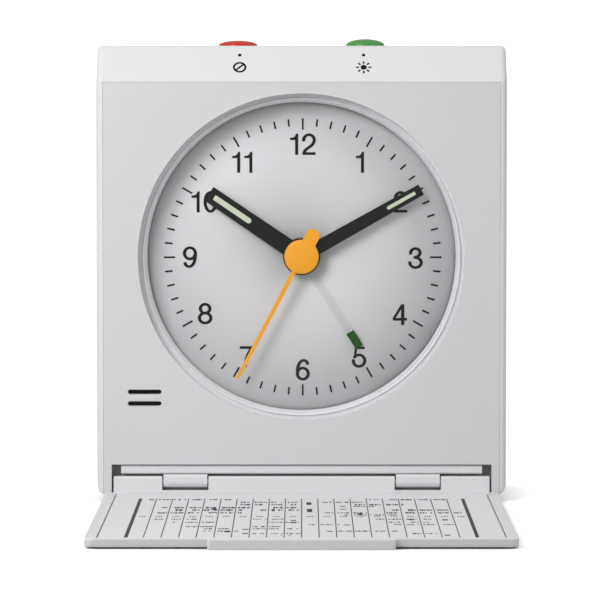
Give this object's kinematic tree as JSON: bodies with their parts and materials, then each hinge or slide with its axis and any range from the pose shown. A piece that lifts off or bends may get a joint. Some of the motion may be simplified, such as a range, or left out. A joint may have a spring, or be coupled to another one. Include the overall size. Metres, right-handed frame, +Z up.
{
  "type": "travel alarm clock",
  "caption": "Travel alarm clock: white case, silver front panel, round dial behind a flat crystal, push buttons on top and a full-size front cover hinged at the bottom edge.",
  "frame": {"origin": "centre of the footprint with the cover open, on the surface that the clock stands on", "axes": "+Z up, +Y from the open cover towards the back of the case, +X to the right seen from the front"},
  "size_m": [0.07, 0.0952, 0.0792],
  "materials": {
    "white_plastic": "cool white moulded plastic, satin",
    "silver_panel": "silver metallic, very fine grain",
    "crystal_clear": "clear acrylic, polished",
    "ring_white": "white, smooth",
    "light_clear": "clear moulded plastic",
    "dial_silver": "silver-white satin paint",
    "hand_black": "black, satin",
    "lume": "pale green-white luminous paint",
    "second_yellow": "warm yellow, satin",
    "alarm_green": "dark green, satin",
    "button_red": "red, semi-gloss",
    "button_green": "green, semi-gloss",
    "black_plastic": "black moulded",
    "nylon": "natural nylon",
    "steel": "bright plated",
    "brass": "turned",
    "copper": "enamelled copper wire",
    "board": "green solder resist",
    "card": "printed card under clear film",
    "rubber": "matt",
    "cell": "plain wrapped dry cell"
  },
  "bodies": {
    "case": {"case_shell": "white_plastic", "front_panel": "silver_panel", "rear_cover": "white_plastic", "case_screw_1": "steel", "case_screw_2": "steel", "case_screw_3": "steel", "case_screw_4": "steel", "foot_1": "rubber", "foot_2": "rubber", "foot_3": "rubber", "foot_4": "rubber", "crystal": "crystal_clear", "dial_ring": "ring_white", "light_guide": "light_clear", "light_led": "light_clear", "dial": "dial_silver", "movement_base": "nylon", "movement_cover": "nylon", "stator": "steel", "coil_core": "steel", "coil": "copper", "circuit_board": "board", "off_switch": "black_plastic", "snooze_switch": "black_plastic", "buzzer": "black_plastic", "battery": "cell", "contact_plus": "steel", "contact_minus": "steel"},
    "battery_door": {"battery_door": "white_plastic"},
    "cover": {"cover_panel": "white_plastic", "time_zone_card": "card", "hinge_pin_left": "steel", "hinge_pin_right": "steel"},
    "seconds": {"second_hand": "second_yellow", "seconds_wheel": "nylon"},
    "minutes": {"minute_hand": "hand_black", "minute_hand_lume": "lume", "centre_wheel": "brass"},
    "hours": {"hour_hand": "hand_black", "hour_hand_lume": "lume", "hour_wheel": "nylon"},
    "alarm": {"alarm_hand": "light_clear", "alarm_hand_tip": "alarm_green", "alarm_wheel": "nylon"},
    "rotor": {"rotor": "steel"},
    "intermediate": {"intermediate_wheel": "nylon"},
    "third": {"third_wheel": "nylon"},
    "time_setting": {"minute_wheel": "nylon", "time_knob": "white_plastic"},
    "alarm_setting": {"alarm_pinion": "nylon", "alarm_knob": "white_plastic"},
    "off_button": {"off_button": "button_red"},
    "snooze_button": {"snooze_button": "button_green"}
  },
  "joints": [
    {"name": "cover_hinge", "type": "hinge", "parent": "case", "child": "cover", "pos_m": [0, 0.022, 0.0035], "axis": [-1, 0, 0], "range_deg": [0, 90]},
    {"name": "seconds_spin", "type": "hinge", "parent": "case", "child": "seconds", "pos_m": [0, 0.02555, 0.0419], "axis": [0, 1, 0], "continuous": true},
    {"name": "minutes_spin", "type": "hinge", "parent": "case", "child": "minutes", "pos_m": [0, 0.02555, 0.0419], "axis": [0, 1, 0], "continuous": true},
    {"name": "hours_spin", "type": "hinge", "parent": "case", "child": "hours", "pos_m": [0, 0.02555, 0.0419], "axis": [0, 1, 0], "continuous": true},
    {"name": "time_knob_turn", "type": "hinge", "parent": "case", "child": "time_setting", "pos_m": [0.00588, 0.04055, 0.04684], "axis": [0, 1, 0], "continuous": true},
    {"name": "third_spin", "type": "hinge", "parent": "case", "child": "third", "pos_m": [-0.00246, 0.03155, 0.03513], "axis": [0, 1, 0], "continuous": true},
    {"name": "intermediate_spin", "type": "hinge", "parent": "case", "child": "intermediate", "pos_m": [0.00606, 0.03355, 0.0384], "axis": [0, 1, 0], "continuous": true},
    {"name": "rotor_spin", "type": "hinge", "parent": "case", "child": "rotor", "pos_m": [0.00906, 0.03255, 0.0332], "axis": [0, 1, 0], "continuous": true},
    {"name": "alarm_knob_turn", "type": "hinge", "parent": "case", "child": "alarm_setting", "pos_m": [-0.0053, 0.04055, 0.0472], "axis": [0, 1, 0], "continuous": true},
    {"name": "alarm_hand_spin", "type": "hinge", "parent": "case", "child": "alarm", "pos_m": [0, 0.02555, 0.0419], "axis": [0, 1, 0], "continuous": true},
    {"name": "off_button_press", "type": "slide", "parent": "case", "child": "off_button", "axis": [0, 0, -1], "range_m": [0, 0.0008], "stiffness_N_per_m": 1000, "springref_m": -0.0003},
    {"name": "snooze_button_press", "type": "slide", "parent": "case", "child": "snooze_button", "axis": [0, 0, -1], "range_m": [0, 0.0008], "stiffness_N_per_m": 1000, "springref_m": -0.0003},
    {"name": "battery_door_hinge", "type": "hinge", "parent": "case", "child": "battery_door", "pos_m": [0, 0.04675, 0.0093], "axis": [-1, 0, 0], "range_deg": [0, 105]}
  ],
  "couplings": [
    {"joint": "minutes_spin", "follows": "seconds_spin", "ratio": 0.016667},
    {"joint": "hours_spin", "follows": "seconds_spin", "ratio": 0.0013889},
    {"joint": "time_knob_turn", "follows": "seconds_spin", "ratio": -0.0055556},
    {"joint": "third_spin", "follows": "seconds_spin", "ratio": -0.13333},
    {"joint": "intermediate_spin", "follows": "seconds_spin", "ratio": -6},
    {"joint": "rotor_spin", "follows": "seconds_spin", "ratio": 30},
    {"joint": "alarm_hand_spin", "follows": "alarm_knob_turn", "ratio": -0.5}
  ]
}
